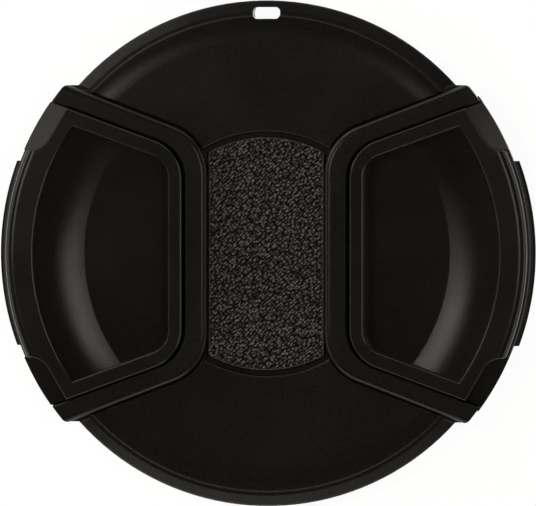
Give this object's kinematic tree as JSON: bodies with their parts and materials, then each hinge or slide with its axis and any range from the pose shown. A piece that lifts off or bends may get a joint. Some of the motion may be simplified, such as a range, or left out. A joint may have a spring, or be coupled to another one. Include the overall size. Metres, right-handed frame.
{
  "type": "camera lens cap",
  "caption": "Round centre-pinch cap that snaps into the filter thread of a lens; sprung side tabs with finger pockets slide inwards to pull in their threaded hooks.",
  "frame": {"origin": "bottom centre of the cap, on the rear faces that it lies on", "axes": "+Z out of the front face, +Y from the centre to the leash slot, the tabs slide along X"},
  "size_m": [0.077, 0.0726, 0.0082],
  "materials": {
    "cover_plastic": "fine satin grain, black",
    "tab_plastic": "satin, black",
    "grained_pad": "leather grain, black",
    "rear_plastic": "matt, black",
    "spring_steel": "drawn wire"
  },
  "bodies": {
    "cap": {"front_cover": "cover_plastic", "centre_pad": "grained_pad", "rear_plate": "rear_plastic", "left_upper_spring": "spring_steel", "left_lower_spring": "spring_steel", "right_upper_spring": "spring_steel", "right_lower_spring": "spring_steel"},
    "left_tab": {"left_tab": "tab_plastic"},
    "right_tab": {"right_tab": "tab_plastic"}
  },
  "joints": [
    {"name": "left_tab_slide", "type": "slide", "parent": "cap", "child": "left_tab", "axis": [1, 0, 0], "range_m": [0, 0.0004], "stiffness_N_per_m": 1500, "springref_m": -0.002, "deforming": ["left_upper_spring", "left_lower_spring"]},
    {"name": "right_tab_slide", "type": "slide", "parent": "cap", "child": "right_tab", "axis": [-1, 0, 0], "range_m": [0, 0.0004], "stiffness_N_per_m": 1500, "springref_m": -0.002, "deforming": ["right_upper_spring", "right_lower_spring"]}
  ]
}
